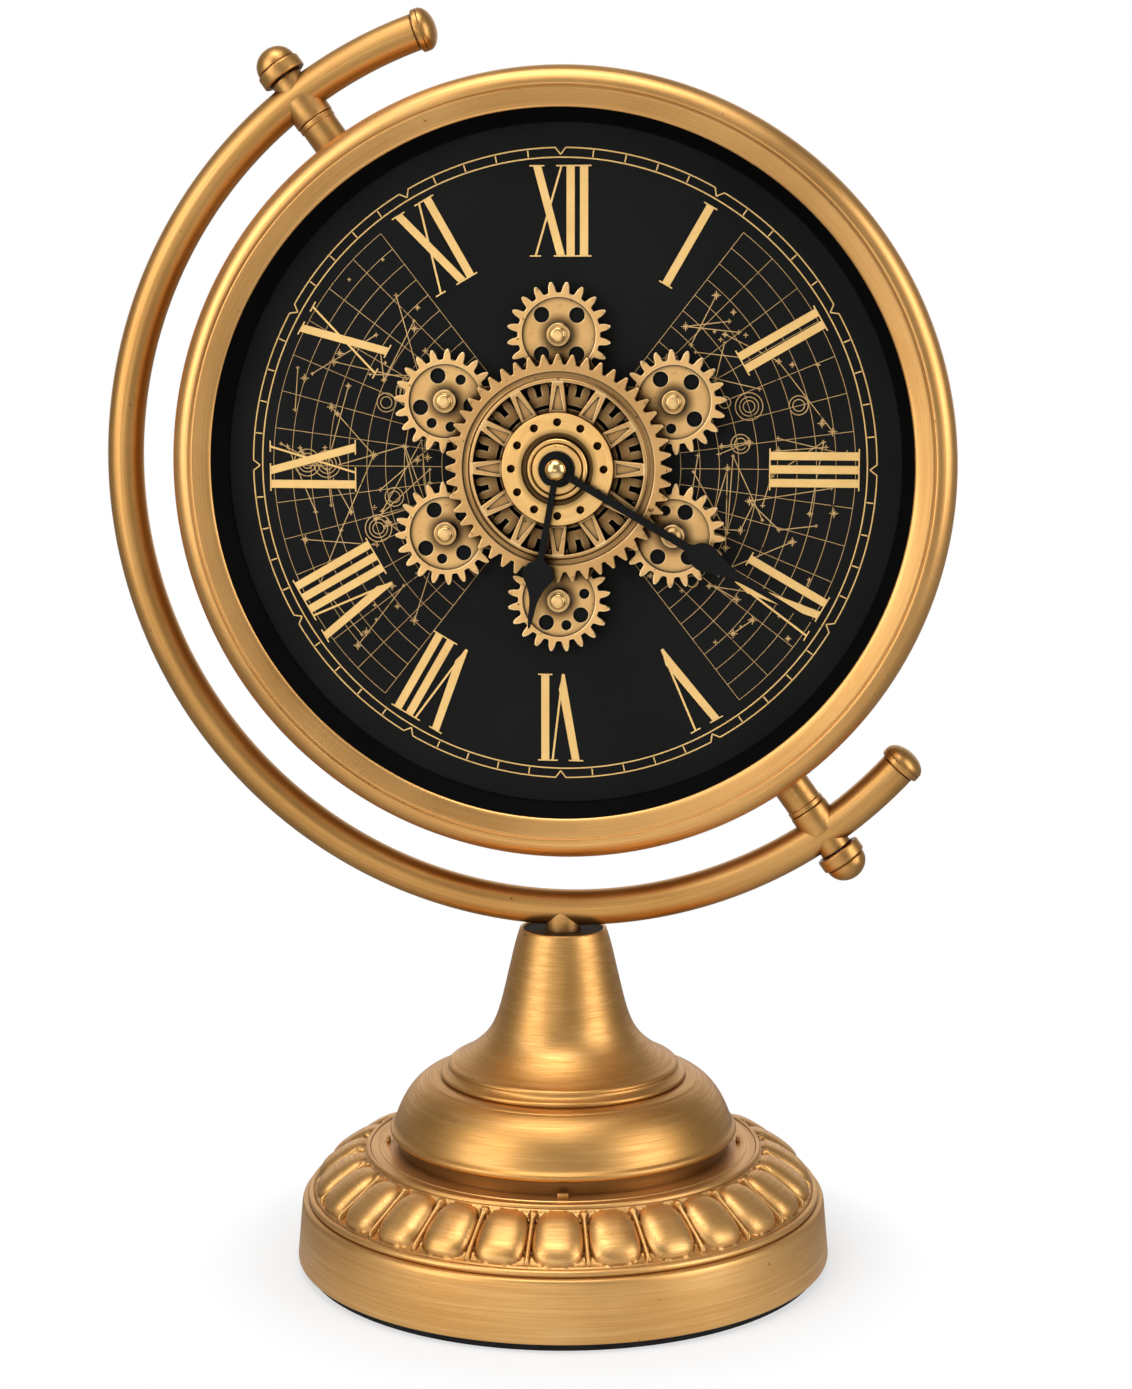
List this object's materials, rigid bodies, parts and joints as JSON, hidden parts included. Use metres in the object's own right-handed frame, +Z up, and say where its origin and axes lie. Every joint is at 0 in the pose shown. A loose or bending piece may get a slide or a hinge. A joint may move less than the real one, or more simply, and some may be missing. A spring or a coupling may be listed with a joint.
{
  "type": "table clock",
  "caption": "Round dial drum with a turning gear display, hung on a tilted axis in a C-shaped tube arm on a gadrooned round pedestal, for telling the time on a table or shelf.",
  "frame": {"origin": "centre of the foot's underside, on the surface that the clock stands on", "axes": "+Z up, the dial faces -Y, +X to the right of someone who reads the dial"},
  "size_m": [0.3293, 0.2112, 0.4876],
  "materials": {
    "felt": "black felt",
    "antique_gold": "brushed antique gold under clear lacquer",
    "gear_gold": "satin aged gold",
    "bright_brass": "polished",
    "steel": "zinc plated",
    "cast_iron": "rough cast, black paint",
    "dial_black": "matte black paint",
    "hand_black": "satin black paint",
    "black_plastic": "fine moulded texture",
    "white_plastic": "moulded",
    "cell_sleeve": "plain shrink sleeve"
  },
  "bodies": {
    "stand": {"foot_pad": "felt", "plinth_shell": "antique_gold", "base_weight": "cast_iron", "pedestal_dome": "antique_gold", "neck_cone": "antique_gold", "tie_rod": "steel", "tie_rod_nut": "steel", "arm_tube": "antique_gold", "arm_stem": "antique_gold", "arm_cap_upper": "antique_gold", "arm_cap_lower": "antique_gold", "upper_saddle": "antique_gold", "upper_outer_saddle": "antique_gold", "lower_saddle": "antique_gold", "lower_outer_saddle": "antique_gold"},
    "drum": {"upper_sleeve": "antique_gold", "upper_stud": "steel", "upper_finial": "antique_gold", "lower_sleeve": "antique_gold", "lower_stud": "steel", "lower_finial": "antique_gold", "case_shell": "antique_gold", "bezel_ring": "antique_gold", "reflector_ring": "dial_black", "dial_plate": "dial_black", "back_cover": "black_plastic", "cover_screw_1": "steel", "cover_screw_2": "steel", "cover_screw_3": "steel", "movement_case": "black_plastic", "movement_cover": "black_plastic", "movement_nut": "bright_brass", "movement_battery": "cell_sleeve", "battery_holder": "black_plastic", "gear_battery_1": "cell_sleeve", "gear_battery_2": "cell_sleeve", "gearbox_tray": "black_plastic", "gear_motor": "steel", "satellite_post_1": "gear_gold", "satellite_post_2": "gear_gold", "satellite_post_3": "gear_gold", "satellite_post_5": "gear_gold", "satellite_post_6": "gear_gold"},
    "gear_centre": {"sun_gear": "gear_gold", "front_gear": "gear_gold"},
    "satellite_1": {"satellite_gear_1": "gear_gold"},
    "satellite_2": {"satellite_gear_2": "gear_gold"},
    "satellite_3": {"satellite_gear_3": "gear_gold"},
    "satellite_4": {"satellite_gear_4": "gear_gold", "drive_shaft": "gear_gold"},
    "satellite_5": {"satellite_gear_5": "gear_gold"},
    "satellite_6": {"satellite_gear_6": "gear_gold"},
    "motor_rotor": {"motor_pinion": "bright_brass"},
    "minute_train": {"minute_hand": "hand_black", "minute_arbor": "steel", "hand_nut": "bright_brass"},
    "hour_train": {"hour_hand": "hand_black", "hour_wheel": "bright_brass"},
    "setting_train": {"set_knob": "white_plastic"},
    "gear_switch": {"switch_slider": "white_plastic"}
  },
  "joints": [
    {"name": "drum_turn", "type": "hinge", "parent": "stand", "child": "drum", "pos_m": [0, 0, 0.315], "axis": [-0.5878, 0, 0.809], "continuous": true},
    {"name": "gear_spin", "type": "hinge", "parent": "drum", "child": "gear_centre", "pos_m": [0, 0, 0.315], "axis": [0, 1, 0], "continuous": true},
    {"name": "satellite_1_spin", "type": "hinge", "parent": "drum", "child": "satellite_1", "pos_m": [0, 0, 0.3654], "axis": [0, 1, 0], "continuous": true},
    {"name": "satellite_2_spin", "type": "hinge", "parent": "drum", "child": "satellite_2", "pos_m": [0.04365, 0, 0.3402], "axis": [0, 1, 0], "continuous": true},
    {"name": "satellite_3_spin", "type": "hinge", "parent": "drum", "child": "satellite_3", "pos_m": [0.04365, 0, 0.2898], "axis": [0, 1, 0], "continuous": true},
    {"name": "satellite_4_spin", "type": "hinge", "parent": "drum", "child": "satellite_4", "pos_m": [0, 0, 0.2646], "axis": [0, 1, 0], "continuous": true},
    {"name": "satellite_5_spin", "type": "hinge", "parent": "drum", "child": "satellite_5", "pos_m": [-0.04365, 0, 0.2898], "axis": [0, 1, 0], "continuous": true},
    {"name": "satellite_6_spin", "type": "hinge", "parent": "drum", "child": "satellite_6", "pos_m": [-0.04365, 0, 0.3402], "axis": [0, 1, 0], "continuous": true},
    {"name": "motor_spin", "type": "hinge", "parent": "drum", "child": "motor_rotor", "pos_m": [0.0245, 0, 0.2646], "axis": [0, 1, 0], "continuous": true},
    {"name": "minute_turn", "type": "hinge", "parent": "drum", "child": "minute_train", "pos_m": [0, 0, 0.315], "axis": [0, 1, 0], "continuous": true},
    {"name": "hour_turn", "type": "hinge", "parent": "drum", "child": "hour_train", "pos_m": [0, 0, 0.315], "axis": [0, 1, 0], "continuous": true},
    {"name": "knob_turn", "type": "hinge", "parent": "drum", "child": "setting_train", "pos_m": [0.00866, 0, 0.32], "axis": [0, 1, 0], "continuous": true},
    {"name": "switch_slide", "type": "slide", "parent": "drum", "child": "gear_switch", "axis": [0, 0, 1], "range_m": [0, 0.003]}
  ],
  "couplings": [
    {"joint": "satellite_1_spin", "follows": "gear_spin", "ratio": -1.8},
    {"joint": "satellite_2_spin", "follows": "gear_spin", "ratio": -1.8},
    {"joint": "satellite_3_spin", "follows": "gear_spin", "ratio": -1.8},
    {"joint": "satellite_4_spin", "follows": "gear_spin", "ratio": -1.8},
    {"joint": "satellite_5_spin", "follows": "gear_spin", "ratio": -1.8},
    {"joint": "satellite_6_spin", "follows": "gear_spin", "ratio": -1.8},
    {"joint": "motor_spin", "follows": "gear_spin", "ratio": 5.4},
    {"joint": "hour_turn", "follows": "minute_turn", "ratio": 0.083333},
    {"joint": "knob_turn", "follows": "minute_turn", "ratio": -0.33333}
  ]
}
